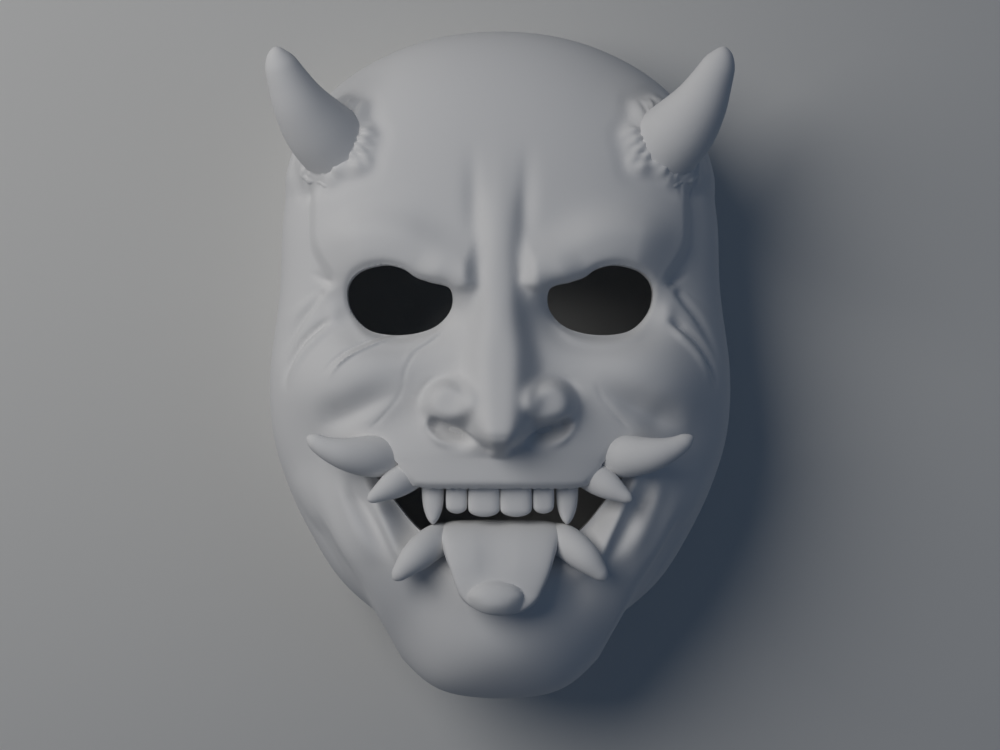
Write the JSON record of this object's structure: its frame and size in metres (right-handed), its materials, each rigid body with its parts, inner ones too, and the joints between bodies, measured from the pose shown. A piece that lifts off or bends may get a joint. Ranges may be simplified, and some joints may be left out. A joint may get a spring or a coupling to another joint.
{
  "type": "oni mask",
  "caption": "Hollow cast demon face mask with curved horns, a heavy frowning brow, open eye holes, tusks, bared teeth and a hanging, curled tongue.",
  "frame": {"origin": "on the surface the mask lies on, under the middle of its bounding box", "axes": "X across the face, +Y towards the forehead, +Z out of the face; the rim lies flat on z = 0"},
  "size_m": [0.1658, 0.238, 0.113],
  "materials": {
    "resin": "unpainted cast resin, light cool grey, smooth and matt with a faint sheen"
  },
  "bodies": {
    "root": {"oni_mask": "resin"}
  },
  "joints": []
}
